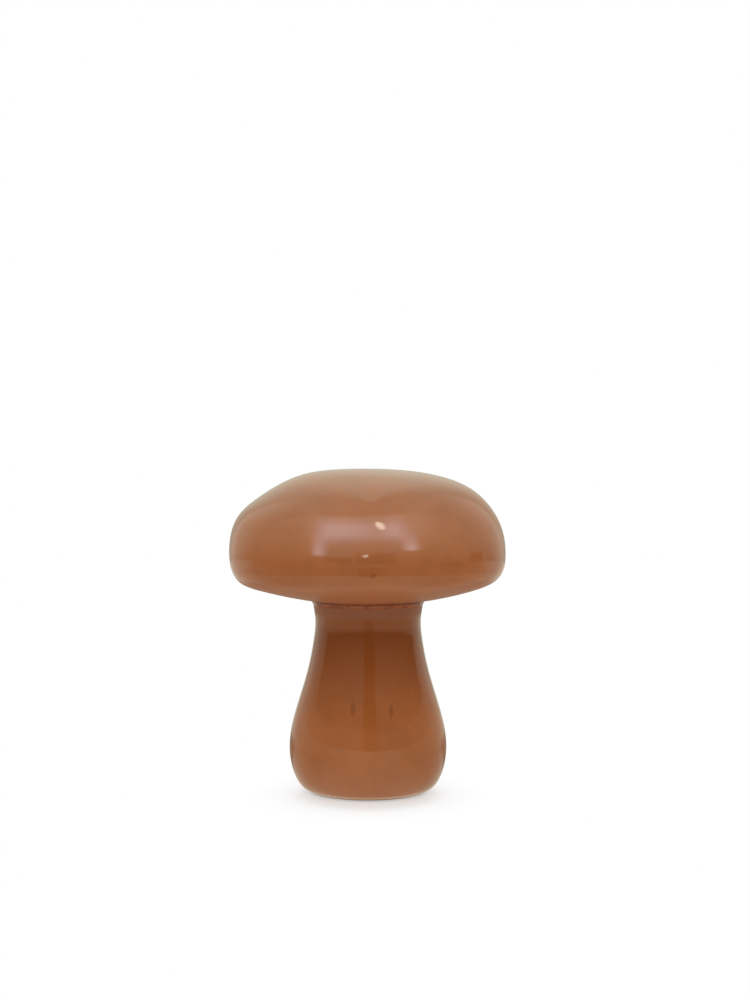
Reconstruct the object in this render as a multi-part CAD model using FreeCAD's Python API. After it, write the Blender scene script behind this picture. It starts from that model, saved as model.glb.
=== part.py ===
import FreeCAD, Part
import math
import os

# A mushroom ornament in slip-cast ceramic under one brown gloss glaze. The cap and the stem are
# two hollow castings, luted together with slip at the underside of the cap.
# The origin is on the surface that the ornament stands on, under the middle of the stem. +Z is up,
# and the front looks along -Y. Lengths are in millimetres.

# Sizes of the glazed outside
cap_diameter = 100.0
overall_height = 116.0
joint_height = 68.2
neck_diameter = 38.4
belly_diameter = 57.0
collar_diameter = 39.7

# Walls of the two castings, and the coat on them
cap_wall = 4.5
stem_wall = 4.0
stem_floor = 4.5
glaze_thickness = 0.4

# The joint of the stem and the cap
cap_mouth_diameter = 26.0
seat_depth = 1.2
seat_clearance = 0.4
slip_bed = 0.5
slip_fillet = 0.8
seam_width = 1.1
seam_drop = 1.7
seam_sag_share = 0.3
land_inset = 0.5

# The foot
felt_thickness = 1.0
felt_proud = 0.4
felt_clearance = 0.5
foot_ring_width = 3.6
wiped_height = 0.5
wiped_slope = 0.6
vent_diameter = 8.0

# How far a tool runs past the wall that it cuts
overrun = 2.0

# The outline of the cap is a cubic B-spline from the crown, over the rim and in to the joint. Each
# control point is a share of the cap's radius and a share of its height. The cap leans: its +X side
# is rounder and its -X side slopes more, and the outline goes from one to the other round the cap.
round_side_shares = [
    (0.0, 1.0),
    (0.231, 1.0),
    (0.577, 0.949),
    (0.82, 0.819),
    (0.971, 0.592),
    (1.002, 0.383),
    (0.987, 0.17),
    (0.793, 0.082),
    (0.573, 0.027),
]
sloped_side_shares = [
    (0.0, 1.0),
    (0.28, 1.0),
    (0.521, 0.969),
    (0.825, 0.766),
    (0.974, 0.629),
    (1.019, 0.385),
    (0.981, 0.138),
    (0.793, 0.082),
    (0.573, 0.027),
]

# The outline of the stem is another, from under the collar down to the edge of the glaze. Each
# control point is a share of the way from the neck's radius to the belly's, and a share of the
# glazed height. The hollow leaves out the last points and rounds into the floor instead.
stem_outline_shares = [
    (-0.045, 0.919),
    (0.042, 0.814),
    (0.297, 0.623),
    (0.837, 0.399),
    (1.051, 0.236),
    (0.93, 0.102),
    (0.657, 0.019),
    (0.452, 0.0),
]
points_below_hollow = 2
floor_corner_share = 0.9

# The degree of every B-spline, and the number of poles in each row round the cap
degree = 3
sectors = 12

# Radii and heights that follow from the sizes
cap_radius = cap_diameter / 2
cap_mouth_radius = cap_mouth_diameter / 2
neck_radius = neck_diameter / 2
belly_radius = belly_diameter / 2
vent_radius = vent_diameter / 2
glazed_collar_radius = collar_diameter / 2
collar_radius = glazed_collar_radius - glaze_thickness
rim_bore_radius = collar_radius - stem_wall
seat_radius = collar_radius + seat_clearance
seam_radius = glazed_collar_radius + seam_width
land_radius = seam_radius - land_inset
land_height = joint_height + glaze_thickness
seat_height = land_height + seat_depth
rim_height = seat_height - slip_bed
seam_foot_height = joint_height - seam_drop
glaze_edge_height = felt_proud + wiped_height

INWARD = (-1, 0)
DOWN = (0, -1)
UP = (0, 1)


def offset_outline(outline, depth, first_way, last_way):
    """The control points of an outline that lies this deep under the given one, mitred at each
    corner. The two ends are moved straight, each in its own way."""
    normals = []
    for (r0, z0), (r1, z1) in zip(outline, outline[1:]):
        length = math.hypot(r1 - r0, z1 - z0)
        normals.append(((z1 - z0) / length, (r0 - r1) / length))
    steps = [first_way]
    for before, after in zip(normals, normals[1:]):
        spread = 1 + before[0] * after[0] + before[1] * after[1]
        steps.append(((before[0] + after[0]) / spread, (before[1] + after[1]) / spread))
    steps.append(last_way)
    return [(r + depth * dr, z + depth * dz) for (r, z), (dr, dz) in zip(outline, steps)]


def cap_outline(shares, depth):
    """The control points of one side of the cap, this deep under the glazed surface."""
    height = overall_height - joint_height
    outline = [(r * cap_radius, joint_height + z * height) for r, z in shares]
    outline.append((land_radius, joint_height))
    return offset_outline(outline, depth, DOWN, UP)


def stem_outline(depth):
    """The control points of the stem, this deep under the glazed surface."""
    swell = belly_radius - neck_radius
    height = seam_foot_height - glaze_edge_height
    outline = [(glazed_collar_radius, seam_foot_height)]
    for r, z in stem_outline_shares:
        outline.append((neck_radius + r * swell, glaze_edge_height + z * height))
    return offset_outline(outline, depth, INWARD, INWARD)


def clamped_knots(count):
    """The knots of a clamped B-spline with this many poles, and their multiplicities."""
    spans = count - degree
    return list(range(spans + 1)), [degree + 1] + [1] * (spans - 1) + [degree + 1]


def outline_edge(outline):
    """The B-spline edge of an outline, in the XZ plane."""
    knots, multiplicities = clamped_knots(len(outline))
    poles = [FreeCAD.Vector(r, 0, z) for r, z in outline]
    curve = Part.BSplineCurve()
    curve.buildFromPolesMultsKnots(poles, multiplicities, knots, False, degree)
    return curve.toShape()


def line_edges(corners):
    """The straight edges through a list of corners, in the XZ plane."""
    points = [FreeCAD.Vector(r, 0, z) for r, z in corners]
    return [Part.makeLine(a, b) for a, b in zip(points, points[1:])]


def turned(edges):
    """The solid that a closed section makes when it is turned round the Z axis."""
    section = Part.Face(Part.Wire(Part.sortEdges(edges)[0]))
    return section.revolve(FreeCAD.Vector(0, 0, 0), FreeCAD.Vector(0, 0, 1), 360)


def cylinder(radius, bottom, top):
    """A cylinder round the Z axis."""
    return Part.makeCylinder(radius, top - bottom, FreeCAD.Vector(0, 0, bottom))


def cap_form(depth):
    """The closed form of the cap, this deep under the glazed surface. Each row of poles lies
    outside its round by the amount that gives the surface the outline's own radius."""
    turn = 2 * math.pi / sectors
    reach = 3 / (2 + math.cos(turn))
    poles = []
    for (round_r, round_z), (sloped_r, sloped_z) in zip(
        cap_outline(round_side_shares, depth), cap_outline(sloped_side_shares, depth)
    ):
        row = []
        for i in range(sectors):
            roundness = (1 + math.cos(i * turn)) / 2
            r = reach * (sloped_r + roundness * (round_r - sloped_r))
            z = sloped_z + roundness * (round_z - sloped_z)
            row.append(FreeCAD.Vector(r * math.cos(i * turn), r * math.sin(i * turn), z))
        poles.append(row)
    rows, row_multiplicities = clamped_knots(len(poles))
    columns = list(range(sectors + 1))
    surface = Part.BSplineSurface()
    surface.buildFromPolesMultsKnots(
        poles, row_multiplicities, [1] * len(columns), rows, columns, False, True, degree, degree
    )
    land = Part.Face(Part.Wire([surface.uIso(rows[-1]).toShape()]))
    return Part.Solid(Part.Shell([surface.toShape(), land]))


def cap_body():
    """The clay cap: a hollow casting with a drain mouth and a shallow seat in its underside."""
    hollow = cap_form(glaze_thickness + cap_wall)
    mouth = cylinder(cap_mouth_radius, joint_height, land_height + cap_wall + overrun)
    seat = cylinder(seat_radius, joint_height, seat_height)
    return cap_form(glaze_thickness).cut([hollow, mouth, seat])


def stem_body():
    """The clay stem: a hollow casting whose rim stands in the cap's seat. Its closed foot has a
    ring round a recess for the felt, and a vent hole."""
    skin = stem_outline(glaze_thickness)
    hollow = stem_outline(glaze_thickness + stem_wall)[:-points_below_hollow]
    corner_radius = floor_corner_share * hollow[-1][0]
    floor_height = felt_thickness + stem_floor
    hollow.append((corner_radius, floor_height))
    foot = line_edges(
        [
            skin[-1],
            (foot_radius, felt_proud),
            (recess_radius, felt_proud),
            (recess_radius, felt_thickness),
            (vent_radius, felt_thickness),
            (vent_radius, floor_height),
            hollow[-1],
        ]
    )
    rim = line_edges(
        [hollow[0], (rim_bore_radius, rim_height), (collar_radius, rim_height), skin[0]]
    )
    return turned(foot + [outline_edge(hollow), outline_edge(skin)] + rim)


def luting_slip():
    """The slip between the castings: a bed on the rim, a sleeve round it and a fillet below."""
    bed_radius = max(rim_bore_radius, cap_mouth_radius)
    return turned(
        line_edges(
            [
                (bed_radius, rim_height),
                (collar_radius, rim_height),
                (collar_radius, land_height - slip_fillet),
                (collar_radius + slip_fillet, land_height),
                (seat_radius, land_height),
                (seat_radius, seat_height),
                (bed_radius, seat_height),
                (bed_radius, rim_height),
            ]
        )
    )


def cap_glaze():
    """The coat on the cap, open where the stem joins it."""
    opening = cylinder(seam_radius, joint_height - overrun, land_height + overrun)
    return cap_form(0).cut([cap_form(glaze_thickness), opening])


def stem_glaze():
    """The coat on the stem, from the seam down to the line where the foot was wiped."""
    outer = stem_outline(0)
    inner = stem_outline(glaze_thickness)
    ends = line_edges([outer[0], inner[0]]) + line_edges([outer[-1], inner[-1]])
    return turned([outline_edge(outer), outline_edge(inner)] + ends)


def seam_glaze(cap, slip):
    """The bead of glaze in the corner under the cap, with a hollow front. It is cut back by the
    cap and the slip that it lies against."""
    start = FreeCAD.Vector(glazed_collar_radius, 0, seam_foot_height)
    end = FreeCAD.Vector(seam_radius, 0, joint_height)
    half = (end - start) / 2
    sag = FreeCAD.Vector(-half.z, 0, half.x) * seam_sag_share
    front = Part.Arc(start, start + half + sag, end).toShape()
    back = line_edges(
        [
            (seam_radius, joint_height),
            (seam_radius, seat_height),
            (collar_radius, seat_height),
            (collar_radius, seam_foot_height),
            (glazed_collar_radius, seam_foot_height),
        ]
    )
    return turned([front] + back).cut([cap, slip])


def base_felt():
    """The felt disc in the recess of the foot, a little prouder than the foot ring."""
    return cylinder(recess_radius - felt_clearance, 0, felt_thickness)


foot_radius = stem_outline(glaze_thickness)[-1][0] - wiped_slope
recess_radius = foot_radius - foot_ring_width

cap = cap_body()
slip = luting_slip()
pieces = {
    "cap_body": cap,
    "stem_body": stem_body(),
    "luting_slip": slip,
    "cap_glaze": cap_glaze(),
    "stem_glaze": stem_glaze(),
    "seam_glaze": seam_glaze(cap, slip),
    "base_felt": base_felt(),
}
os.makedirs("parts", exist_ok=True)
for name, shape in pieces.items():
    shape.Solids[0].exportStep(f"parts/{name}.step")
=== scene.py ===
"""The looks of a glazed ceramic mushroom ornament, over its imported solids, in metres."""

import math

import bpy
import numpy as np
from bpy.props import FloatProperty, FloatVectorProperty, PointerProperty
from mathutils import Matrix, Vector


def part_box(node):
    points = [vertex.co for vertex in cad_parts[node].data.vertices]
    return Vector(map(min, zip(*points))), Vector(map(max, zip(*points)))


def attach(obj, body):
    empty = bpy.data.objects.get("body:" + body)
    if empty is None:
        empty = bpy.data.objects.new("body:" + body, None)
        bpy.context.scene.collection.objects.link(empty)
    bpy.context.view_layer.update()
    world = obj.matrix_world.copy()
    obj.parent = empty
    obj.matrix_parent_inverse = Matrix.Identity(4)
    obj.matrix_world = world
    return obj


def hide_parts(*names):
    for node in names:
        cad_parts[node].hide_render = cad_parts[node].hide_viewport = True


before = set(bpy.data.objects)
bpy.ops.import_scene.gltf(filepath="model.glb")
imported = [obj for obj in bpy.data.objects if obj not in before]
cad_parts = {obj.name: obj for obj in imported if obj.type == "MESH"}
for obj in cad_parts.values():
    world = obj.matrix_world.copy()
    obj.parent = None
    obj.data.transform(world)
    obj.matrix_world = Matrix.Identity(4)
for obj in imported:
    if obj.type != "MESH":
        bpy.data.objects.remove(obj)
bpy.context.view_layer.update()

bl_info = {
    "name": "Mushroom Ornament",
    "version": (1, 0, 0),
    "blender": (4, 5, 0),
    "location": "3D View > Sidebar > Ornament",
    "description": "A glazed ceramic mushroom ornament and the studio that shows it",
    "category": "Add Mesh",
}

CAP_LOW, CAP_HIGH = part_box("cap_glaze")
STEM_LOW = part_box("stem_glaze")[0]
SEAM_LOW, SEAM_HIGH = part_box("seam_glaze")

# The outline of the cap from the crown to the joint, on its rounder +X side and on its sloped -X
# side: shares of the cap's radius and of its height over the joint.
ROUND_SIDE = [
    (0.0, 1.0),
    (0.231, 1.0),
    (0.577, 0.949),
    (0.82, 0.819),
    (0.971, 0.592),
    (1.002, 0.383),
    (0.987, 0.17),
    (0.793, 0.082),
    (0.573, 0.027),
]
SLOPED_SIDE = [
    (0.0, 1.0),
    (0.28, 1.0),
    (0.521, 0.969),
    (0.825, 0.766),
    (0.974, 0.629),
    (1.019, 0.385),
    (0.981, 0.138),
    (0.793, 0.082),
    (0.573, 0.027),
]
# The outline of the stem from the collar to the foot: shares of the way from the neck's radius to
# the belly's, and of the glazed height.
STEM_SIDE = [
    (-0.045, 0.919),
    (0.042, 0.814),
    (0.297, 0.623),
    (0.837, 0.399),
    (1.051, 0.236),
    (0.93, 0.102),
    (0.657, 0.019),
    (0.452, 0.0),
]
# The degree of the splines, and the number of poles in each row round the cap
DEGREE = 3
SECTORS = 12

# Columns of the meshes of the cap's and the stem's coats, round the axis
COLUMNS = 320

# Seeds of the random draws: the waves of the cap and of the stem, and the lumps of the seam
CAP_SEED, STEM_SEED, SEAM_SEED = 7, 21, 5

# How deep the inner face of each coat lies, as a share of its thickness, so that it stays just
# outside the clay
COAT_SHARE = 0.95

# Small blemishes on the front of the glaze: X and Z of the middle, radius, and height over the
# surface, or depth where it is negative
CAP_MARKS = [
    (0.0011, 0.0803, 0.0006, -0.00009),
    (0.0371, 0.0837, 0.0014, -0.00006),
]
STEM_MARKS = [
    (-0.0172, 0.0131, 0.0007, 0.00012),
    (-0.0158, 0.0112, 0.0006, 0.0001),
    (-0.0227, 0.0086, 0.0005, 0.0001),
]
# Darker spots in the glaze of the front, two drips and a dot: X and Z of the middle, half width
# and half height
SPOTS = [
    (-0.0052, 0.0325, 0.0009, 0.0024),
    (0.008, 0.0317, 0.0008, 0.0022),
    (0.0018, 0.0802, 0.0008, 0.0008),
]

# The low wall of the light box and the veil over it, as rings round the axis: the radius, the
# heights of the edges, and the reach to each side of the front in degrees
WALL_RADIUS, WALL_TOP, WALL_REACH = 0.1325, 0.0605, 124
VEIL_RADIUS, VEIL_FOOT, VEIL_TOP, VEIL_REACH = 0.1, 0.0755, 0.25, 125

# What the glaze mirrors, where 1 is white: the veil and its window by height in metres, the
# window's bar by turn in degrees, the floor in front by the distance from the axis, and the tent
# by the sine of its climb
VEIL_HEIGHTS = [
    (0.076, 0.55), (0.08, 0.65), (0.086, 0.85), (0.095, 1.1), (0.104, 1.3), (0.115, 1.4),
    (0.13, 1.55), (0.16, 1.8), (0.24, 1.9),
]
BAR_HEIGHTS = [
    (0.08, 0), (0.088, 0.1), (0.097, 0.14), (0.103, 0.23), (0.109, 0.4), (0.115, 0.7),
    (0.121, 0.95), (0.131, 1), (0.142, 0.97), (0.155, 0.78), (0.17, 0.52), (0.19, 0.36),
    (0.225, 0.22), (0.25, 0),
]
BAR_TURNS = [
    (-46, 0), (-39, 0.14), (-34.5, 0.38), (-30, 0.68), (-26, 0.98), (-17, 1), (-9, 0.9),
    (0, 0.72), (6, 0.6), (11, 0.72), (15, 0.9), (19, 0.88), (23, 0.6), (28, 0.31), (34, 0.2),
    (41, 0.1), (49, 0),
]
LEG_HEIGHTS = [(0.08, 1), (0.088, 0.97), (0.097, 0.85), (0.109, 0.41), (0.121, 0.13), (0.135, 0)]
SHEET_REACHES = [
    (0, 1.2), (0.03, 1.25), (0.037, 1.12), (0.05, 1.05), (0.09, 1), (0.14, 0.95), (0.17, 0.62),
    (0.8, 0.62),
]
FRONT_CLIMBS = [
    (0, 0.1), (0.17, 0.13), (0.3, 0.3), (0.42, 0.4), (0.5, 0.7), (0.71, 1.3), (0.87, 1.75),
    (1, 1.6),
]
BACK_CLIMBS = [
    (0, 0.42), (0.17, 0.5), (0.34, 0.6), (0.5, 0.78), (0.71, 1.02), (0.87, 1.4), (1, 1.6),
]
# The share of the shadow that the camera sees on the floor, by the distance from a point a little
# in front of the axis, and the Y of that point
CONTACT_REACHES = [
    (0, 1), (0.018, 1), (0.0229, 0.68), (0.025, 0.45), (0.028, 0.25), (0.032, 0.12), (0.042, 0),
]
CONTACT_Y = -0.012


class OrnamentSizes(bpy.types.PropertyGroup):
    """The sizes of the glaze coat, taken from the solids where they hold them."""

    cap_radius: FloatProperty(
        name="Cap radius",
        description="Half the width of the cap, over the glaze",
        default=(CAP_HIGH.x - CAP_LOW.x) / 2,
        unit="LENGTH",
    )
    overall_height: FloatProperty(
        name="Overall height",
        description="From the surface it stands on to the crown",
        default=CAP_HIGH.z,
        unit="LENGTH",
    )
    joint_height: FloatProperty(
        name="Joint height",
        description="Where the underside of the cap meets the seam",
        default=0.0682,
        unit="LENGTH",
    )
    land_radius: FloatProperty(
        name="Land radius",
        description="Where the outline of the cap ends, behind the seam",
        default=0.02045,
        unit="LENGTH",
    )
    neck_radius: FloatProperty(
        name="Neck radius",
        description="Radius of the narrow neck, over the glaze",
        default=0.0192,
        unit="LENGTH",
    )
    belly_radius: FloatProperty(
        name="Belly radius",
        description="Radius that the widest part of the stem is set out from",
        default=0.0285,
        unit="LENGTH",
    )
    collar_radius: FloatProperty(
        name="Collar radius",
        description="Radius of the top of the stem, over the glaze",
        default=0.01985,
        unit="LENGTH",
    )
    seam_radius: FloatProperty(
        name="Seam radius",
        description="Outer radius of the glaze in the corner under the cap",
        default=SEAM_HIGH.x,
        unit="LENGTH",
    )
    seam_foot_height: FloatProperty(
        name="Seam foot height",
        description="Where the seam's glaze runs out onto the stem",
        default=SEAM_LOW.z,
        unit="LENGTH",
    )
    glaze_thickness: FloatProperty(
        name="Glaze thickness",
        description="Thickness of the glaze coat",
        default=0.0004,
        unit="LENGTH",
    )
    glaze_edge_height: FloatProperty(
        name="Glaze edge height",
        description="Height at which the glaze was wiped off the foot",
        default=STEM_LOW.z,
        unit="LENGTH",
    )
    ripple_depth: FloatProperty(
        name="Ripple depth",
        description="Depth of the slow waves that hand finishing leaves in the cast walls",
        default=0.00006,
        unit="LENGTH",
    )
    bead_height: FloatProperty(
        name="Seam bead height",
        description="How far the lumps of glaze in the seam stand out",
        default=0.0003,
        unit="LENGTH",
    )


class OrnamentFinish(bpy.types.PropertyGroup):
    """The colours of the glaze, the clay and the felt, with the painted shade and light among them.
    """

    glaze_colour: FloatVectorProperty(
        name="Glaze",
        description="The full coat of brown gloss glaze",
        default=(0.352, 0.1003, 0.0218),
        subtype="COLOR",
    )
    # Deeper glaze in the drips and the seam, and also painted shade in the waist, where the cap
    # shades the stem.
    deep_glaze_and_shade_colour: FloatVectorProperty(
        name="Waist glaze",
        description="The deeper colour of the glaze in the waist, in the seam and in the drips",
        default=(0.213, 0.0525, 0.0095),
        subtype="COLOR",
    )
    # Painted light: this paler colour stands in for the light that the white floor throws up onto
    # the cap's underside.
    painted_underside_light_colour: FloatVectorProperty(
        name="Dry glaze",
        description="The duller, paler glaze on the underside of the cap",
        default=(0.4, 0.133, 0.045),
        subtype="COLOR",
    )
    thin_colour: FloatVectorProperty(
        name="Thin glaze",
        description="The glaze where it thins out at an edge",
        default=(0.5, 0.22, 0.08),
        subtype="COLOR",
    )
    # Pooled glaze in the seam, and also painted shade up in the corner under the cap.
    pooled_and_shade_colour: FloatVectorProperty(
        name="Pooled glaze",
        description="The glaze where it has run together in the seam",
        default=(0.2, 0.04, 0.012),
        subtype="COLOR",
    )
    clay_colour: FloatVectorProperty(
        name="Clay",
        description="The fired clay under the glaze",
        default=(0.72, 0.62, 0.49),
        subtype="COLOR",
    )
    felt_colour: FloatVectorProperty(
        name="Felt",
        description="The felt disc under the foot",
        default=(0.045, 0.032, 0.025),
        subtype="COLOR",
    )


class OrnamentStudio(bpy.types.PropertyGroup):
    """The light round the ornament."""

    room_light: FloatProperty(
        name="Room light",
        description="Strength of the plain white light from all sides, where 1 is white",
        default=0.91,
    )
    key_light: FloatProperty(
        name="Key light",
        description="Power of the large soft lamp above the front",
        default=0.1,
        unit="POWER",
    )
    room_tint: FloatVectorProperty(
        name="Room tint",
        description="The slightly warm white of the room, as the glaze mirrors it",
        default=(1.0, 0.98, 0.8),
        subtype="COLOR",
    )
    window_light: FloatProperty(
        name="Window light",
        description="Strength of the window in front, as the glaze mirrors it",
        default=3.7,
    )
    lamp_light: FloatProperty(
        name="Lamp light",
        description="Strength of the two small lamps, as the glaze mirrors them",
        default=13.0,
    )
    contact_shade: FloatProperty(
        name="Contact shade",
        description="How much of the shadow under the foot the floor shows",
        default=0.6,
        subtype="FACTOR",
    )


class Value:
    """A value that varies over a surface. Sums and products of values add Math nodes."""

    def __init__(self, shading, socket):
        self.shading = shading
        self.socket = socket

    def math(self, operation, *operands):
        """A Math node on these operands."""
        return self.shading.node(
            "ShaderNodeMath", {"operation": operation}, dict(enumerate(operands))
        )

    def __add__(self, other):
        return self.math("ADD", self, other)

    def __radd__(self, other):
        return self.math("ADD", other, self)

    def __sub__(self, other):
        return self.math("SUBTRACT", self, other)

    def __rsub__(self, other):
        return self.math("SUBTRACT", other, self)

    def __mul__(self, other):
        return self.math("MULTIPLY", self, other)

    def __rmul__(self, other):
        return self.math("MULTIPLY", other, self)

    def __truediv__(self, other):
        return self.math("DIVIDE", self, other)

    def __pow__(self, other):
        return self.math("POWER", self, other)

    def __abs__(self):
        return self.math("ABSOLUTE", self)

    def either(self, other):
        """The greater of two values."""
        return self.math("MAXIMUM", self, other)

    def rise(self, low, high):
        """0 below low and 1 above high, with a smooth step between; it falls if low is higher."""
        return self.shading.node(
            "ShaderNodeMapRange",
            {"interpolation_type": "SMOOTHSTEP"},
            {"Value": self, "From Min": low, "From Max": high},
        )

    def between(self, first, second):
        """A value that goes from the first to the second as this one goes from 0 to 1."""
        return first + self * (second - first)

    def bell(self, middle, radius):
        """A smooth bell of this value: 1 at a middle, and 0 from 1.7 times the radius on."""
        return (abs(self - middle) / (1.7 * radius)).rise(1, 0)

    def within(self, low, high, soft):
        """1 between low and high, falling to 0 over a soft border outside them."""
        return self.rise(low - soft, low) * self.rise(high + soft, high)

    def graph(self, low, high, stops):
        """A value read from a graph of positions, from low to high, and heights."""
        top = max(height for _, height in stops)
        scaled = [((place - low) / (high - low), height / top) for place, height in stops]
        share = (self - low) / (high - low)
        return top * self.shading.node("ShaderNodeValToRGB", {"stops": scaled}, {"Fac": share})


class Shading:
    """The nodes of one material or of the world."""

    def __init__(self, tree):
        self.tree = tree
        tree.nodes.clear()

    def node(self, kind, settings=None, inputs=None, output=0):
        """Adds a node, with its settings first and then the values or links of its sockets. It
        gives the output that is named, or a list where several are."""
        made = self.tree.nodes.new(kind)
        for name, setting in (settings or {}).items():
            if name == "stops":
                fill_ramp(made.color_ramp, setting)
            else:
                setattr(made, name, setting)
        for name, given in (inputs or {}).items():
            if isinstance(given, Value):
                self.tree.links.new(given.socket, made.inputs[name])
            else:
                made.inputs[name].default_value = given
        if isinstance(output, tuple):
            return [Value(self, made.outputs[name]) for name in output]
        return Value(self, made.outputs[output]) if made.outputs else None

    def place(self):
        """The point on the surface, in metres."""
        return self.node("ShaderNodeTexCoord", output="Object")

    def parts(self, point):
        """The X, Y and Z of a point."""
        return self.node("ShaderNodeSeparateXYZ", inputs={"Vector": point}, output=("X", "Y", "Z"))

    def turn(self, x, y):
        """The turn round the axis, in degrees from the front and positive towards +X."""
        return x.math("ARCTAN2", x, y * -1) * (180 / math.pi)

    def ray(self, *kinds):
        """1 for rays of any of these kinds, and 0 for the others."""
        share, *others = self.node("ShaderNodeLightPath", output=kinds)
        for other in others:
            share = share.either(other)
        return share

    def noise(self, point, size, detail=2.0, roughness=0.5, distortion=0.0):
        """Noise whose blotches are about this size, in metres."""
        return self.node(
            "ShaderNodeTexNoise",
            inputs={
                "Vector": point,
                "Scale": 1 / size,
                "Detail": detail,
                "Roughness": roughness,
                "Distortion": distortion,
            },
        )

    def blend(self, share, first, second):
        """A colour that goes from the first to the second as the share goes from 0 to 1."""
        return self.node("ShaderNodeMix", {"data_type": "RGBA"}, {0: share, 6: first, 7: second}, 2)

    def mix(self, share, first, second):
        """A shader that goes from the first to the second as the share goes from 0 to 1."""
        return self.node("ShaderNodeMixShader", inputs={0: share, 1: first, 2: second})

    def glow(self, level, tint):
        """Light of a tint, at a level where 1 is white."""
        colour = self.node("ShaderNodeVectorMath", {"operation": "MULTIPLY"}, {0: tint, 1: level})
        return self.node("ShaderNodeEmission", inputs={"Color": colour})

    def bump(self, height, strength, distance):
        """The normals of a relief, whose depth is a distance in metres."""
        return self.node(
            "ShaderNodeBump",
            inputs={"Strength": strength, "Distance": distance, "Height": height},
        )

    def finish(self, shader):
        """Ends the tree with a surface shader."""
        self.node("ShaderNodeOutputMaterial", inputs={"Surface": shader})


def fill_ramp(ramp, stops):
    """Sets the stops of a ramp from pairs of a position and a grey."""
    while len(ramp.elements) < len(stops):
        ramp.elements.new(1.0)
    for element, (position, grey) in zip(ramp.elements, stops):
        element.position = position
        element.color = (grey, grey, grey, 1)


def opaque(colour, share=1):
    """A share of a colour, with its alpha."""
    return (*[share * c for c in colour], 1)


def new_material(name):
    """A material with an empty node tree, and the shading that fills it."""
    material = bpy.data.materials.new(name)
    material.use_nodes = True
    return material, Shading(material.node_tree)


def clamped_weights(poles, samples):
    """The weight of each pole of a clamped B-spline at each sample from 0 to 1, by the recurrence
    of Cox and de Boor: a weight blends the two neighbouring weights of one degree less."""
    spans = poles - DEGREE
    knots = np.concatenate([np.zeros(DEGREE), np.arange(spans + 1), np.full(DEGREE, spans)])
    place = np.clip(samples * spans, 0, spans - 1e-9)[:, None]
    weights = ((knots[:-1] <= place) & (place < knots[1:])).astype(float)
    for order in range(1, DEGREE + 1):
        width = knots[order:] - knots[:-order]
        share = (place - knots[:-order]) / np.where(width > 0, width, np.inf)
        left = share[:, :-1] * weights[:, :-1]
        right = np.where(width[1:] > 0, 1 - share[:, 1:], 0) * weights[:, 1:]
        weights = left + right
    return weights


def closed_weights(poles, samples):
    """The weight of each pole of a closed, even cubic B-spline at each sample. A sample counts in
    poles, and a weight is the cubic bell of the distance between the sample and the pole."""
    half = poles / 2
    gap = np.abs((samples[:, None] - np.arange(poles) + half) % poles - half)
    near = (4 - 6 * gap**2 + 3 * gap**3) / 6
    far = np.clip(2 - gap, 0, None) ** 3 / 6
    return np.where(gap < 1, near, far)


def deepen(outline, depth, first_way, last_way):
    """The poles of an outline this deep under the given one, mitred at each corner, with the two
    ends moved straight, each in its own way."""
    runs = np.diff(outline, axis=0)
    runs /= np.linalg.norm(runs, axis=1, keepdims=True)
    inward = np.stack([runs[:, 1], -runs[:, 0]], axis=1)
    pairs = inward[:-1] + inward[1:]
    spread = 1 + (inward[:-1] * inward[1:]).sum(axis=1, keepdims=True)
    steps = np.concatenate([[first_way], pairs / spread, [last_way]])
    return outline + depth * steps


def even_samples(outline, end, count):
    """Samples of an outline from its start to one of its parameters, at equal lengths along the
    curve."""
    dense = np.linspace(0, end, 3000)
    points = clamped_weights(len(outline), dense) @ outline
    length = np.concatenate([[0], np.cumsum(np.linalg.norm(np.diff(points, axis=0), axis=1))])
    return np.interp(np.linspace(0, length[-1], count), length, dense)


def half_round(first, last, way, count):
    """Rows that turn half round from one edge row to another, bulging in the given way: the
    middle of the two, plus their half difference by the cosine of the turn, plus the way by its
    sine."""
    turn = np.linspace(0, math.pi, count + 2)[1:-1, None, None]
    middle = (first + last) / 2
    half = (first - last) / 2
    reach = np.linalg.norm(half, axis=-1, keepdims=True)
    return middle + half * np.cos(turn) + way * reach * np.sin(turn)


def outward_normals(grid):
    """The unit normals of a grid whose columns close on themselves, pointing away from its
    middle: the cross product of the differences along its columns and its rows."""
    along = np.gradient(grid, axis=0)
    around = np.roll(grid, -1, axis=1) - np.roll(grid, 1, axis=1)
    normals = np.cross(around, along)
    normals /= np.maximum(np.linalg.norm(normals, axis=-1, keepdims=True), 1e-15)
    middle = grid.mean(axis=(0, 1))
    return normals * np.sign(((grid - middle) * normals).sum())


def ripples(points, seed):
    """A gentle relief, cut off at -1 and 1: a sum of sine waves through space, each in its own
    direction, whose heights grow with their lengths."""
    count, shortest, longest = 40, 0.009, 0.03
    draw = np.random.default_rng(seed)
    ways = draw.normal(size=(count, 3))
    ways /= np.linalg.norm(ways, axis=1, keepdims=True)
    lengths = draw.uniform(shortest, longest, count)
    phases = draw.uniform(0, 2 * math.pi, count)
    heights = lengths / np.linalg.norm(lengths) / 2
    waves = np.sin(points @ (ways * (2 * math.pi / lengths)[:, None]).T + phases)
    return np.clip(waves @ heights, -1, 1)


def blemishes(grid, marks):
    """The relief of small bumps and pits on the front: a bell for each mark, of the distance from
    its middle in X and Z."""
    relief = np.zeros(grid.shape[:2])
    for x, z, radius, rise in marks:
        gap = np.hypot(grid[..., 0] - x, grid[..., 2] - z)
        relief += rise * np.exp(-((gap / radius) ** 2)) * (grid[..., 1] < 0)
    return relief


def coat(outer, inner, edge_rows):
    """The rows of a coat: the outside, a half round edge, and the inside, taken backwards."""
    way = outer[-1] - outer[-2]
    way /= np.linalg.norm(way, axis=-1, keepdims=True)
    return np.concatenate([outer, half_round(outer[-1], inner[-1], way, edge_rows), inner[::-1]])


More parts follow.
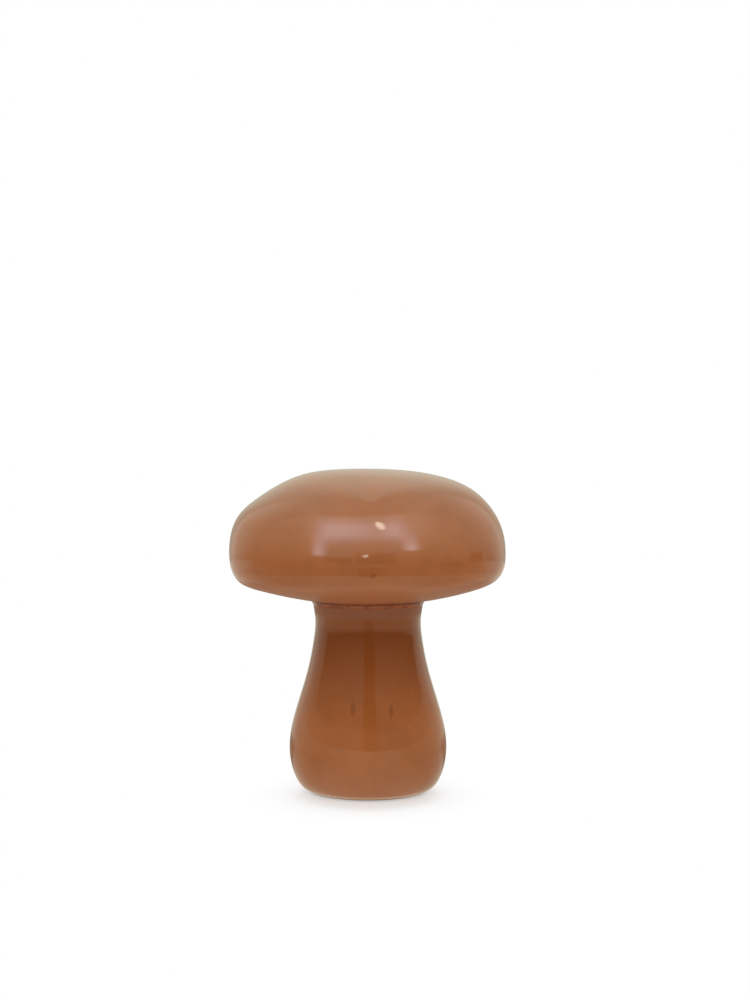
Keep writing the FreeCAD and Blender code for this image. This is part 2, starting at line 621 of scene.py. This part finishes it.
def closed_mesh(name, grid, poles=None):
    """A closed mesh over a grid whose columns close on themselves. Its rows also close, or end in
    the two given poles. Faces that enclose a negative volume are turned round."""
    rows, columns = grid.shape[:2]
    index = np.arange(rows * columns).reshape(rows, columns)
    beside = np.roll(index, -1, axis=1)
    points = grid.reshape(-1, 3)
    if poles is None:
        corners = [index, np.roll(index, -1, axis=0), np.roll(beside, -1, axis=0), beside]
        fans = np.empty((0, 3), int)
    else:
        corners = [index[:-1], index[1:], beside[1:], beside[:-1]]
        first = np.full(columns, rows * columns)
        top = np.stack([first, index[0], beside[0]], axis=-1)
        bottom = np.stack([beside[-1], index[-1], first + 1], axis=-1)
        fans = np.concatenate([top, bottom])
        points = np.concatenate([points, poles])
    quads = np.stack(corners, axis=-1).reshape(-1, 4)
    triangles = np.concatenate([quads[:, :3], quads[:, [2, 3, 0]], fans])
    a, b, c = points[triangles].swapaxes(0, 1)
    if (a * np.cross(b, c)).sum() < 0:
        quads, fans = quads[:, ::-1], fans[:, ::-1]
    mesh = bpy.data.meshes.new(name)
    mesh.from_pydata(points.tolist(), [], quads.tolist() + fans.tolist())
    mesh.shade_smooth()
    mesh.update()
    return mesh


def add_piece(mesh, material, node):
    """Shows a mesh in place of a CAD node, on the one body."""
    piece = bpy.data.objects.new(mesh.name, mesh)
    bpy.context.scene.collection.objects.link(piece)
    mesh.materials.append(bpy.data.materials[material])
    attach(piece, "root")
    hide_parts(node)


def turned(profile, columns):
    """A profile of radii and heights turned round the axis: the radius by the cosine and the sine
    of the turn. It is the same all round, or has a column of points for each turn."""
    turns = np.arange(columns) * 2 * math.pi / columns
    radius, level = profile[..., 0], profile[..., 1]
    if profile.ndim == 2:
        radius, level = radius[:, None], level[:, None]
    return np.stack([radius * np.cos(turns), radius * np.sin(turns), level + 0 * turns], axis=-1)


def glaze_material(finish):
    """The brown gloss glaze: a clear, hard gloss over a warm, slightly mottled colour. It has
    painted shade in the waist under the cap, is darker in a few spots, is paler on the cap's
    underside as painted light from the floor, is less glossy in the corner under the cap, and is
    paler at its thin edge."""
    shading = new_material("brown_gloss_glaze")[1]
    point = shading.place()
    x, y, z = shading.parts(point)
    clouds = shading.noise(point, 0.02, 3, 0.55)
    streaks = shading.noise(point, 0.006, 2, 0.5, 0.6)
    depth = 0.6 * clouds + 0.4 * streaks
    full = shading.blend(
        depth.rise(0.35, 0.7), opaque(finish.glaze_colour, 1.04), opaque(finish.glaze_colour, 0.9)
    )
    front = y.rise(0, -0.004)
    for spot in SPOTS:
        share = 0.55 * oval(x, z, *spot) * front
        full = shading.blend(share, full, opaque(finish.deep_glaze_and_shade_colour, 0.9))
    # Painted shade under the cap: the stem darkens from the belly up to the neck, a little less
    # from there to the joint, where the seam hides its end.
    waist = z.rise(0.022, 0.059) * (1 - 0.33 * z.rise(0.058, 0.0605)) * z.rise(0.0697, 0.0677)
    full = shading.blend(waist, full, opaque(finish.deep_glaze_and_shade_colour))
    # Painted light from the white floor below makes the flat of the cap's underside paler, and the
    # corner under the cap is less glossy.
    underside_light = z.within(0.07, 0.0742, 0.0022)
    corner = z.rise(0.0615, 0.0645) * z.rise(0.078, 0.0745)
    full = shading.blend(underside_light, full, opaque(finish.painted_underside_light_colour))
    # The coat thins out over its last millimetre above the foot.
    thin = z.rise(0.0021, 0.0012)
    colour = shading.blend(thin * 0.9, full, opaque(finish.thin_colour))
    peel = shading.noise(point, 0.007, 2)
    shader = shading.node(
        "ShaderNodeBsdfPrincipled",
        inputs={
            "Base Color": colour,
            "Roughness": 0.07 + 0.04 * clouds + 0.35 * corner,
            "IOR": 1.5,
            "Normal": shading.bump(peel, 0.6, 0.0001),
        },
    )
    shading.finish(shader)


def oval(x, z, middle, level, width, height):
    """A soft oval in X and Z: 1 in its middle, and 0 from a third outside it on."""
    return (((x - middle) / width) ** 2 + ((z - level) / height) ** 2).rise(1.8, 0.2)


def seam_material(finish):
    """The glaze that has run together under the cap: brown, with redder blotches. Up in the corner
    under the cap it turns darker and redder all over, partly as pooled glaze and partly as painted
    shade in the crevice."""
    shading = new_material("pooled_glaze")[1]
    point = shading.place()
    z = shading.parts(point)[2]
    lumps = shading.noise(point, 0.0022, 1)
    # Partly pooled glaze, partly painted shade: the seam darkens up into the crevice under the cap.
    corner = (z + 0.0004 * lumps).rise(0.0676, 0.0682)
    colour = shading.blend(
        lumps.rise(0.45, 0.62), opaque(finish.deep_glaze_and_shade_colour, 1.4), opaque(finish.pooled_and_shade_colour, 1.1)
    )
    colour = shading.blend(corner, colour, opaque(finish.pooled_and_shade_colour, 0.9))
    shader = shading.node(
        "ShaderNodeBsdfPrincipled",
        inputs={
            "Base Color": colour,
            "Roughness": 0.14 + 0.1 * lumps,
            "IOR": 1.5,
            "Specular IOR Level": 0.3,
        },
    )
    shading.finish(shader)


def clay_material(finish):
    """Fired clay: matt and pale, with fine grain and a few darker specks. The outer edge of the
    foot, where the glaze was wiped off, is darkened with painted shade just above the floor."""
    material, shading = new_material("bisque_clay")
    point = shading.place()
    grain = shading.noise(point, 0.0006, 4, 0.6)
    clouds = shading.noise(point, 0.01, 3)
    body = shading.blend(
        clouds.rise(0.35, 0.7), opaque(finish.clay_colour), opaque(finish.clay_colour, 0.82)
    )
    speck_colour, foot_shade_colour = (0.3, 0.2, 0.13), (0.17, 0.06, 0.02)
    body = shading.blend(grain.rise(0.62, 0.72) * 0.6, body, opaque(speck_colour))
    x, y, z = shading.parts(point)
    # Painted shade: the outer edge of the foot, just above the floor, turns dark brown.
    wiped = z.rise(0.0013, 0.0009) * (x * x + y * y).rise(0.0195**2, 0.0203**2)
    colour = shading.blend(wiped * 0.9, body, opaque(foot_shade_colour))
    shader = shading.node(
        "ShaderNodeBsdfPrincipled",
        inputs={
            "Base Color": colour,
            "Roughness": 0.75 + 0.15 * grain,
            "Normal": shading.bump(grain, 0.5, 0.0001),
        },
    )
    shading.finish(shader)
    return material


def felt_material(finish):
    """Pressed felt: dark, with matted fibres that catch a little light."""
    material, shading = new_material("pressed_felt")
    point = shading.place()
    fibres = shading.noise(point, 0.0007, 5, 0.7, 2.5)
    colour = shading.blend(
        fibres.rise(0.35, 0.7), opaque(finish.felt_colour), opaque(finish.felt_colour, 2.2)
    )
    shader = shading.node(
        "ShaderNodeBsdfPrincipled",
        inputs={
            "Base Color": colour,
            "Roughness": 0.95,
            "Sheen Weight": 0.4,
            "Normal": shading.bump(fibres, 0.8, 0.0002),
        },
    )
    shading.finish(shader)
    return material


class ORNAMENT_OT_finish_solids(bpy.types.Operator):
    """Makes the materials, and gives the clay castings, the slip and the felt theirs"""

    bl_idname = "ornament.finish_solids"
    bl_label = "Finish the clay and the felt"

    def execute(self, context):
        finish = context.scene.ornament_finish
        glaze_material(finish)
        seam_material(finish)
        clay = clay_material(finish)
        felt = felt_material(finish)
        surfaces = {"cap_body": clay, "stem_body": clay, "luting_slip": clay, "base_felt": felt}
        for node, material in surfaces.items():
            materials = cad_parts[node].data.materials
            materials.clear()
            materials.append(material)
        return {"FINISHED"}


class ORNAMENT_OT_glaze_cap(bpy.types.Operator):
    """Makes the glaze coat of the cap, closed, with a rounded edge at the seam"""

    bl_idname = "ornament.glaze_cap"
    bl_label = "Glaze the cap"

    def execute(self, context):
        """The coat is the B-spline net of the cap: clamped weights of the outline's samples times
        the poles times closed weights round the axis, once for the outside and once deeper."""
        sizes = context.scene.ornament_sizes
        sides = [self.side(sizes, shares) for shares in (ROUND_SIDE, SLOPED_SIDE)]
        # The coat ends where its mean outline comes in to the seam's radius.
        mean = (sides[0] + sides[1]) / 2
        dense = np.linspace(0, 1, 20000)
        radii = clamped_weights(len(mean), dense) @ mean[:, 0]
        end = dense[radii >= sizes.seam_radius][-1]
        rows, inner_rows, edge_rows = 190, 70, 3
        outer = self.surface(sides, 0, even_samples(mean, end, rows)[1:])
        inner_depth = COAT_SHARE * sizes.glaze_thickness
        inner = self.surface(sides, inner_depth, even_samples(mean, end, inner_rows)[1:])
        relief = sizes.ripple_depth * (ripples(outer, CAP_SEED) - 1)
        relief += blemishes(outer, CAP_MARKS)
        outer = outer + outward_normals(outer) * relief[..., None]
        poles = np.array([outer[0].mean(axis=0), inner[0].mean(axis=0)])
        mesh = closed_mesh("glazed_cap", coat(outer, inner, edge_rows), poles)
        add_piece(mesh, "brown_gloss_glaze", "cap_glaze")
        return {"FINISHED"}

    def side(self, sizes, shares):
        """The poles of one side's outline, in metres."""
        height = sizes.overall_height - sizes.joint_height
        outline = np.array(shares) * (sizes.cap_radius, height) + (0, sizes.joint_height)
        return np.concatenate([outline, [(sizes.land_radius, sizes.joint_height)]])

    def surface(self, sides, depth, samples):
        """Points of the cap this deep under the glaze. The outline goes from one side to the other
        with the cosine of the turn, and the poles lie outside it by the spline's own reach."""
        rounded, sloped = (deepen(side, depth, (0, -1), (0, 1))[:, None] for side in sides)
        turns = np.arange(SECTORS) * 2 * math.pi / SECTORS
        roundness = ((1 + np.cos(turns)) / 2)[:, None]
        reach = 3 / (2 + math.cos(2 * math.pi / SECTORS))
        net = turned((sloped + roundness * (rounded - sloped)) * (reach, 1), SECTORS)
        along = clamped_weights(len(net), samples)
        around = closed_weights(SECTORS, np.arange(COLUMNS) / COLUMNS * SECTORS)
        return np.einsum("ui,ijk,vj->uvk", along, net, around)


class ORNAMENT_OT_glaze_stem(bpy.types.Operator):
    """Makes the glaze coat of the stem, closed, with a rounded edge where the foot was wiped"""

    bl_idname = "ornament.glaze_stem"
    bl_label = "Glaze the stem"

    def execute(self, context):
        """The coat is the stem's outline turned round the axis."""
        sizes = context.scene.ornament_sizes
        rows, inner_rows, edge_rows = 170, 60, 4
        outer = self.surface(sizes, 0, rows)
        inner = self.surface(sizes, COAT_SHARE * sizes.glaze_thickness, inner_rows)
        # The waves fade out over the top twelfth of the rows, towards the seam.
        fade = np.clip(np.linspace(0, 12, rows), 0, 1)[:, None]
        relief = sizes.ripple_depth * fade * (ripples(outer, STEM_SEED) - 1)
        relief += blemishes(outer, STEM_MARKS)
        outer = outer + outward_normals(outer) * relief[..., None]
        mesh = closed_mesh("glazed_stem", coat(outer, inner, edge_rows))
        add_piece(mesh, "brown_gloss_glaze", "stem_glaze")
        return {"FINISHED"}

    def surface(self, sizes, depth, rows):
        """Points of the stem this deep under the glaze. A row just inside the top edge keeps the
        edge crisp."""
        swell = sizes.belly_radius - sizes.neck_radius
        height = sizes.seam_foot_height - sizes.glaze_edge_height
        foot = (sizes.neck_radius, sizes.glaze_edge_height)
        outline = np.array(STEM_SIDE) * (swell, height) + foot
        collar = (sizes.collar_radius, sizes.seam_foot_height)
        outline = deepen(np.concatenate([[collar], outline]), depth, (-1, 0), (-1, 0))
        samples = even_samples(outline, 1, rows - 1)
        samples = np.insert(samples, 1, samples[1] / 20)
        return turned(clamped_weights(len(outline), samples) @ outline, COLUMNS)


class ORNAMENT_OT_glaze_seam(bpy.types.Operator):
    """Makes the ring of glaze that has run together under the cap, with small uneven lumps"""

    bl_idname = "ornament.glaze_seam"
    bl_label = "Glaze the seam"

    def execute(self, context):
        """The ring is a closed section carried round the axis. Its hollow front stands out by a
        sum of bells, one for each lump, of the turn and of the height."""
        sizes = context.scene.ornament_sizes
        columns, front_rows, lumps = 1400, 26, 44
        low, high = sizes.seam_foot_height, sizes.joint_height
        collar, rim = sizes.collar_radius, sizes.seam_radius
        # The front is a shallow arc from the collar out to the rim, and the back lies in the
        # corner behind it.
        share = np.linspace(0, 1, front_rows)[:, None]
        sag = 0.15 * np.sin(math.pi * share)
        front = (collar, low) + share * (rim - collar, high - low)
        front = front + sag * (low - high, rim - collar)
        behind = collar - sizes.glaze_thickness
        back = [(rim - 0.0001, high + 0.0002), (collar, high + 0.0003), (behind, high)]
        section = np.concatenate([front, back, [(behind, low + 0.0002)]])
        # Each lump has its own turn, width, level, height and rise.
        draw = np.random.default_rng(SEAM_SEED)
        where = (np.arange(lumps) + draw.uniform(-0.3, 0.3, lumps)) * 2 * math.pi / lumps
        wide = draw.uniform(0.0006, 0.0011, lumps) / collar
        level = low + (high - low) * draw.uniform(0.45, 0.6, lumps)
        tall = draw.uniform(0.0003, 0.00042, lumps)
        rise = draw.uniform(0.3, 1.0, lumps) * sizes.bead_height
        turns = np.arange(columns) * 2 * math.pi / columns
        gap = (turns[:, None] - where + math.pi) % (2 * math.pi) - math.pi
        across = np.exp(-((gap / wide) ** 2)) * rise
        relief = np.exp(-(((section[:, 1:] - level) / tall) ** 2)) @ across.T
        relief[front_rows:] = 0
        # The lumps stand out sideways, and hang down a little.
        outward = (0.95, -0.2)
        profile = section[:, None] + relief[..., None] * outward
        mesh = closed_mesh("glazed_seam", turned(profile, columns))
        add_piece(mesh, "pooled_glaze", "seam_glaze")
        return {"FINISHED"}


class ORNAMENT_OT_set_stage(bpy.types.Operator):
    """Sets the white floor, the light and the camera"""

    bl_idname = "ornament.set_stage"
    bl_label = "Set the stage"

    def execute(self, context):
        studio = context.scene.ornament_studio
        self.light_room(studio)
        self.hang_lamp(studio)
        self.lay_floor(studio)
        self.stand_wall(studio)
        self.hang_veil(studio)
        self.stand_tent(studio)
        self.place_camera()
        context.scene.view_settings.view_transform = "Standard"
        return {"FINISHED"}

    def light_room(self, studio):
        """Plain white light from all sides, weaker up behind, and a white background."""
        world = bpy.data.worlds.new("white_room")
        bpy.context.scene.world = world
        world.use_nodes = True
        shading = Shading(world.node_tree)
        seen = shading.ray("Is Camera Ray", "Is Glossy Ray", "Is Transmission Ray")
        _, y, z = shading.parts(shading.node("ShaderNodeTexCoord", output="Generated"))
        room = studio.room_light * (1 - 0.75 * z.rise(0.3, 0.8) * y.rise(-0.1, 0.3))
        light = shading.node(
            "ShaderNodeBackground",
            inputs={"Color": (1, 1, 1, 1), "Strength": seen.between(room, 1)},
        )
        shading.node("ShaderNodeOutputWorld", inputs={"Surface": light})

    def hang_lamp(self, studio):
        """A large soft lamp above the front, which the glaze doesn't mirror."""
        lamp = bpy.data.lights.new("key", "AREA")
        lamp.shape = "RECTANGLE"
        lamp.size, lamp.size_y = 0.36, 0.28
        lamp.energy = studio.key_light
        key = bpy.data.objects.new("key", lamp)
        key.location = (0, -0.235, 0.33)
        key.rotation_euler = (math.radians(42), 0, 0)
        key.visible_glossy = False
        bpy.context.scene.collection.objects.link(key)

    def lay_floor(self, studio):
        """A white floor. The camera sees it with only the shadow close to the foot. The glaze
        mirrors the sheet that the ornament stands on and the dimmer floor beyond it."""
        material, shading = self.glowing_material("white_sheet")
        white = shading.node("ShaderNodeEmission", inputs={"Color": (1, 1, 1, 1)})
        x, y, _ = shading.parts(shading.place())
        turn = abs(shading.turn(x, y))
        reach = (x * x + y * y) ** 0.5
        lit = shading.node("ShaderNodeBsdfDiffuse", inputs={"Color": (1, 1, 1, 1)})
        contact = (x * x + (y - CONTACT_Y) ** 2) ** 0.5
        shade = studio.contact_shade * contact.graph(0, 0.05, CONTACT_REACHES)
        seen = shading.mix(shade, white, lit)
        # The sheet is dimmer at the sides, and the floor beyond it is paler towards the back.
        front = reach.graph(0, 0.8, SHEET_REACHES) * (1 - 0.35 * turn.rise(29, 74))
        front = front + 0.4 * turn.rise(92, 120) * reach.rise(0.15, 0.3)
        back = 0.3 + 0.45 * reach.rise(0.12, 0.25)
        mirrored = shading.glow(turn.rise(117, 126).between(front, back), studio.room_tint)
        # The light that the floor throws back up stays even in the ornament's own shadow.
        bounced = shading.mix(0.3, lit, white)
        other = shading.mix(shading.ray("Is Glossy Ray"), bounced, mirrored)
        shading.finish(shading.mix(shading.ray("Is Camera Ray"), other, seen))
        half = 3
        corners = [(-half, -half, 0), (half, -half, 0), (half, half, 0), (-half, half, 0)]
        self.add_sheet("floor", corners, [(0, 1, 2, 3)], material)

    def stand_wall(self, studio):
        """The low front wall of the light box: a bright lip, higher at the sides, under a dimmer
        band with a dark post. Only the glaze mirrors it."""
        material, shading = self.glowing_material("box_wall")
        x, y, z = shading.parts(shading.place())
        turn = shading.turn(x, y)
        # The lip rises with the square of the turn.
        lip = 0.0195 + 0.000002 * turn * turn
        bright = 1.05 - 0.35 * abs(turn).rise(23, 74)
        band = 0.5 - 0.24 * turn.within(-6, 11, 2) + 0.2 * abs(turn).rise(86, 120)
        level = (z - lip).rise(0.001, -0.001).between(band, bright)
        clear = shading.node("ShaderNodeBsdfTransparent")
        glow = shading.glow(level, studio.room_tint)
        shading.finish(shading.mix(z.rise(WALL_TOP, WALL_TOP - 0.003), clear, glow))
        ring = self.ring(WALL_RADIUS, 0, WALL_TOP, WALL_REACH)
        self.add_mirrored("box_wall", ring, material)

    def hang_veil(self, studio):
        """The pale veil round the front of the light box, above the wall, with the window in it:
        a soft bar over two short legs, and two lamps. Only the glaze mirrors it."""
        material, shading = self.glowing_material("box_veil")
        x, y, z = shading.parts(shading.place())
        turn = shading.turn(x, y)
        # The veil grows paler upwards, and dimmer to the sides but for its lower ends.
        pale = z.graph(0.07, 0.25, VEIL_HEIGHTS) * abs(turn).graph(0, 130, [(50, 1), (78, 0.72)])
        pale = pale + 0.25 * abs(turn).rise(90, 118) * z.rise(0.105, 0.08)
        # Dark stands rise over its lower edge.
        stands = turn.within(-24, -11, 2) * z.within(0.079, 0.0835, 0.002)
        stands = stands.either(turn.within(-5, 16, 3) * z.within(0.07, 0.0895, 0.003))
        stands = stands.either(turn.within(72, 82, 3) * z.within(0.07, 0.087, 0.003))
        # The bar of the window spreads upwards, and a leg hangs down from each end of it.
        spread = 1 + 6 * (z - 0.132).either(0)
        bar = z.graph(0.08, 0.25, BAR_HEIGHTS) * (turn / spread).graph(-50, 50, BAR_TURNS)
        left = turn.bell(-29.8, 4.2) * z.rise(0.0855, 0.089)
        right = turn.bell(26.8, 4.9) * z.rise(0.0925, 0.096)
        legs = (0.93 * left + 1.2 * right) * z.graph(0.07, 0.15, LEG_HEIGHTS)
        window = studio.window_light * (bar + legs)
        # The larger lamp is a tilted oval, and the smaller one a short, flat spark under it.
        across, down = (turn - 9.4) / 0.69, (0.154 - z) / 0.004
        along, beside = 0.77 * across + 0.64 * down, 0.77 * down - 0.64 * across
        lamp = ((along / 5.4) ** 2 + (beside / 3.8) ** 2).rise(1.3, 0.6)
        aside = turn + 1.2
        over = z - 0.0875 - 0.0004 * aside
        spark = ((aside / 1.5) ** 2 + (over / 0.0011) ** 2).rise(1.3, 0.5)
        lamps = lamp.either(spark)
        window_tint, lamp_tint = (0.9, 0.93, 0.98), (1, 0.93, 0.8)
        cool = (window / 2).rise(0, 1)
        tint = shading.blend(cool, opaque(studio.room_tint), opaque(window_tint))
        tint = shading.blend(lamps, tint, opaque(lamp_tint))
        level = lamps.between(pale * (1 - 0.55 * stands) + window, studio.lamp_light)
        glow = shading.glow(level, tint)
        # The veil fades in over its foot, and out towards its top and its ends.
        clear = shading.node("ShaderNodeBsdfTransparent")
        solid = z.rise(VEIL_FOOT, 0.079) * z.rise(VEIL_TOP, 0.2) * abs(turn).rise(VEIL_REACH, 116)
        shading.finish(shading.mix(solid, clear, glow))
        ring = self.ring(VEIL_RADIUS, VEIL_FOOT, VEIL_TOP, VEIL_REACH)
        self.add_mirrored("box_veil", ring, material)

    def stand_tent(self, studio):
        """The inside of the light box further out, as a half ball that only the glaze mirrors. It
        is dark in front, with a darker post, and grows lighter upwards and at the back."""
        material, shading = self.glowing_material("box_tent")
        point = shading.place()
        x, y, z = shading.parts(point)
        length = shading.node("ShaderNodeVectorMath", {"operation": "LENGTH"}, {0: point}, "Value")
        climb = z / length
        turn = shading.turn(x, y)
        post = turn.within(-7, 12, 2) * climb.rise(0.6, 0.5)
        front = climb.graph(0, 1, FRONT_CLIMBS) * (1 - 0.9 * post)
        sides = turn.rise(-96, -101).either(turn.rise(106, 112)) * climb.rise(0.5, 0.3)
        front = sides.between(front, 0.55)
        behind = abs(turn).rise(133, 168)
        low = climb.rise(0.3, 0.1)
        back = climb.graph(0, 1, BACK_CLIMBS) * (0.85 + 0.5 * behind + low * (0.9 - 1.3 * behind))
        # The border between front and back is narrow near the floor, and wide overhead.
        border = (abs(turn) - 122.5) / (3.5 + 45 * climb.rise(0.4, 0.9))
        level = border.rise(-1, 1).between(front, back)
        shading.finish(shading.glow(level, studio.room_tint))
        columns, rows = 97, 31
        turns = np.radians(np.linspace(-180, 180, columns))
        climbs = np.radians(np.linspace(-1, 89, rows))[:, None]
        ball = [
            np.sin(turns) * np.cos(climbs),
            -np.cos(turns) * np.cos(climbs),
            np.sin(climbs) + 0 * turns,
        ]
        self.add_mirrored("box_tent", np.stack(ball, axis=-1), material)

    def glowing_material(self, name):
        """A material that glows but lights nothing by itself, and its shading."""
        material, shading = new_material(name)
        material.cycles.emission_sampling = "NONE"
        return material, shading

    def ring(self, radius, low, high, reach):
        """Points of an upright band round the axis, this many degrees to each side of the front:
        the radius by the sine and the cosine of the turn."""
        columns = 125
        turns = np.radians(np.linspace(-reach, reach, columns))
        levels = np.array([low, high])[:, None]
        band = [radius * np.sin(turns) + 0 * levels, -radius * np.cos(turns) + 0 * levels]
        return np.stack(band + [levels + 0 * turns], axis=-1)

    def add_mirrored(self, name, grid, material):
        """A sheet of the stage over a grid of points, seen in reflections only."""
        index = np.arange(grid.size // 3).reshape(grid.shape[:2])
        corners = [index[:-1, :-1], index[:-1, 1:], index[1:, 1:], index[1:, :-1]]
        faces = np.stack(corners, axis=-1).reshape(-1, 4)
        sheet = self.add_sheet(name, grid.reshape(-1, 3).tolist(), faces.tolist(), material)
        sheet.visible_camera = False
        sheet.visible_diffuse = False
        sheet.visible_shadow = False

    def add_sheet(self, name, points, faces, material):
        """A sheet of the stage."""
        mesh = bpy.data.meshes.new(name)
        mesh.from_pydata(points, [], faces)
        mesh.materials.append(material)
        sheet = bpy.data.objects.new(name, mesh)
        bpy.context.scene.collection.objects.link(sheet)
        return sheet

    def place_camera(self):
        """The camera of the photograph: level with the cap, half a metre in front, and turned a
        little down and aside."""
        lens = bpy.data.cameras.new("camera")
        lens.lens = 50
        lens.sensor_width = 36
        camera = bpy.data.objects.new("camera", lens)
        camera.location = (0, -0.5039, 0.109)
        down, aside = 0.5026, -0.2858
        camera.rotation_euler = (math.radians(90 - down), 0, math.radians(aside))
        bpy.context.scene.collection.objects.link(camera)
        bpy.context.scene.camera = camera


class ORNAMENT_PT_panel(bpy.types.Panel):
    """Lists the steps that make the ornament"""

    bl_idname = "ORNAMENT_PT_panel"
    bl_label = "Mushroom Ornament"
    bl_space_type = "VIEW_3D"
    bl_region_type = "UI"
    bl_category = "Ornament"

    def draw(self, context):
        scene = context.scene
        for group in (scene.ornament_sizes, scene.ornament_finish, scene.ornament_studio):
            box = self.layout.box()
            for name in group.__annotations__:
                box.prop(group, name)
        for operator in OPERATORS:
            self.layout.operator(operator.bl_idname)


OPERATORS = (
    ORNAMENT_OT_finish_solids,
    ORNAMENT_OT_glaze_cap,
    ORNAMENT_OT_glaze_stem,
    ORNAMENT_OT_glaze_seam,
    ORNAMENT_OT_set_stage,
)
GROUPS = (OrnamentSizes, OrnamentFinish, OrnamentStudio)


def register():
    """Registers the classes and the settings of the scene."""
    for kind in GROUPS + OPERATORS + (ORNAMENT_PT_panel,):
        bpy.utils.register_class(kind)
    bpy.types.Scene.ornament_sizes = PointerProperty(type=OrnamentSizes)
    bpy.types.Scene.ornament_finish = PointerProperty(type=OrnamentFinish)
    bpy.types.Scene.ornament_studio = PointerProperty(type=OrnamentStudio)


def unregister():
    """Takes the settings and the classes out again."""
    del bpy.types.Scene.ornament_studio
    del bpy.types.Scene.ornament_finish
    del bpy.types.Scene.ornament_sizes
    for kind in reversed(GROUPS + OPERATORS + (ORNAMENT_PT_panel,)):
        bpy.utils.unregister_class(kind)


def main():
    register()
    bpy.ops.ornament.finish_solids()
    bpy.ops.ornament.glaze_cap()
    bpy.ops.ornament.glaze_stem()
    bpy.ops.ornament.glaze_seam()
    bpy.ops.ornament.set_stage()


if __name__ == "__main__":
    main()
